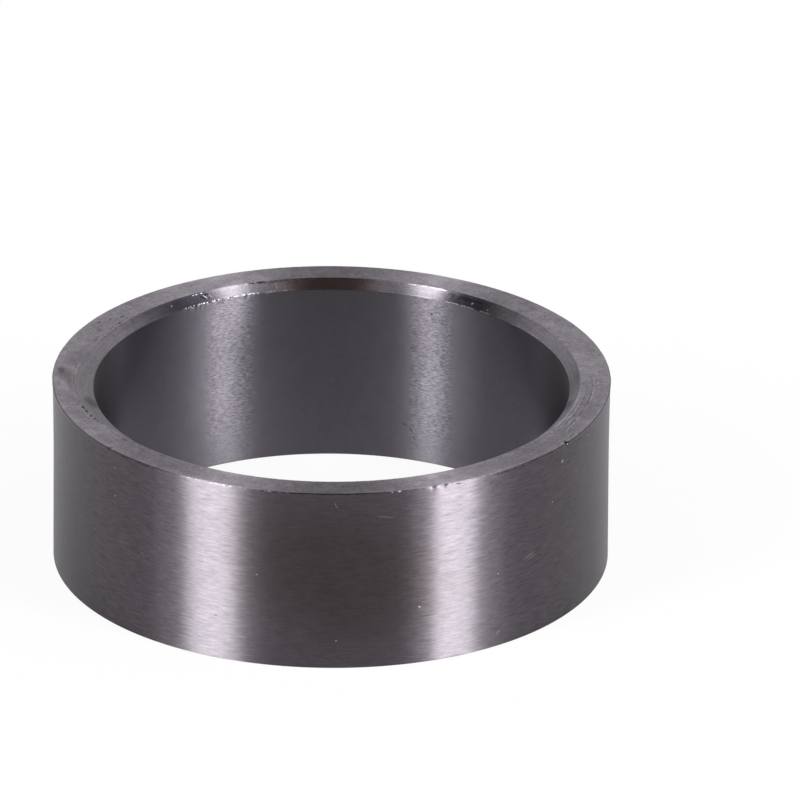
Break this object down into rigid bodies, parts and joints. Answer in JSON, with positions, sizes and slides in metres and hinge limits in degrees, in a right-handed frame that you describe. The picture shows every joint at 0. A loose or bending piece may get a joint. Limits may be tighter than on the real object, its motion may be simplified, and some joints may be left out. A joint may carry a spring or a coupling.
{
  "type": "spacer sleeve",
  "caption": "Short plain steel tube, turned and faced square, with a chamfered bore mouth; slips over a shaft to hold parts a set distance apart.",
  "frame": {"origin": "centre of the bottom end face's plane, on the axis of the bore", "axes": "+Z along the bore, from the plain end up to the chamfered mouth"},
  "size_m": [0.035, 0.035, 0.012],
  "materials": {
    "ground_steel": "bare dark grey steel: fine grind lines round the outside and the bore, faced ends with fine turning rings, a bright turned chamfer at the top mouth"
  },
  "bodies": {
    "root": {"sleeve": "ground_steel"}
  },
  "joints": []
}
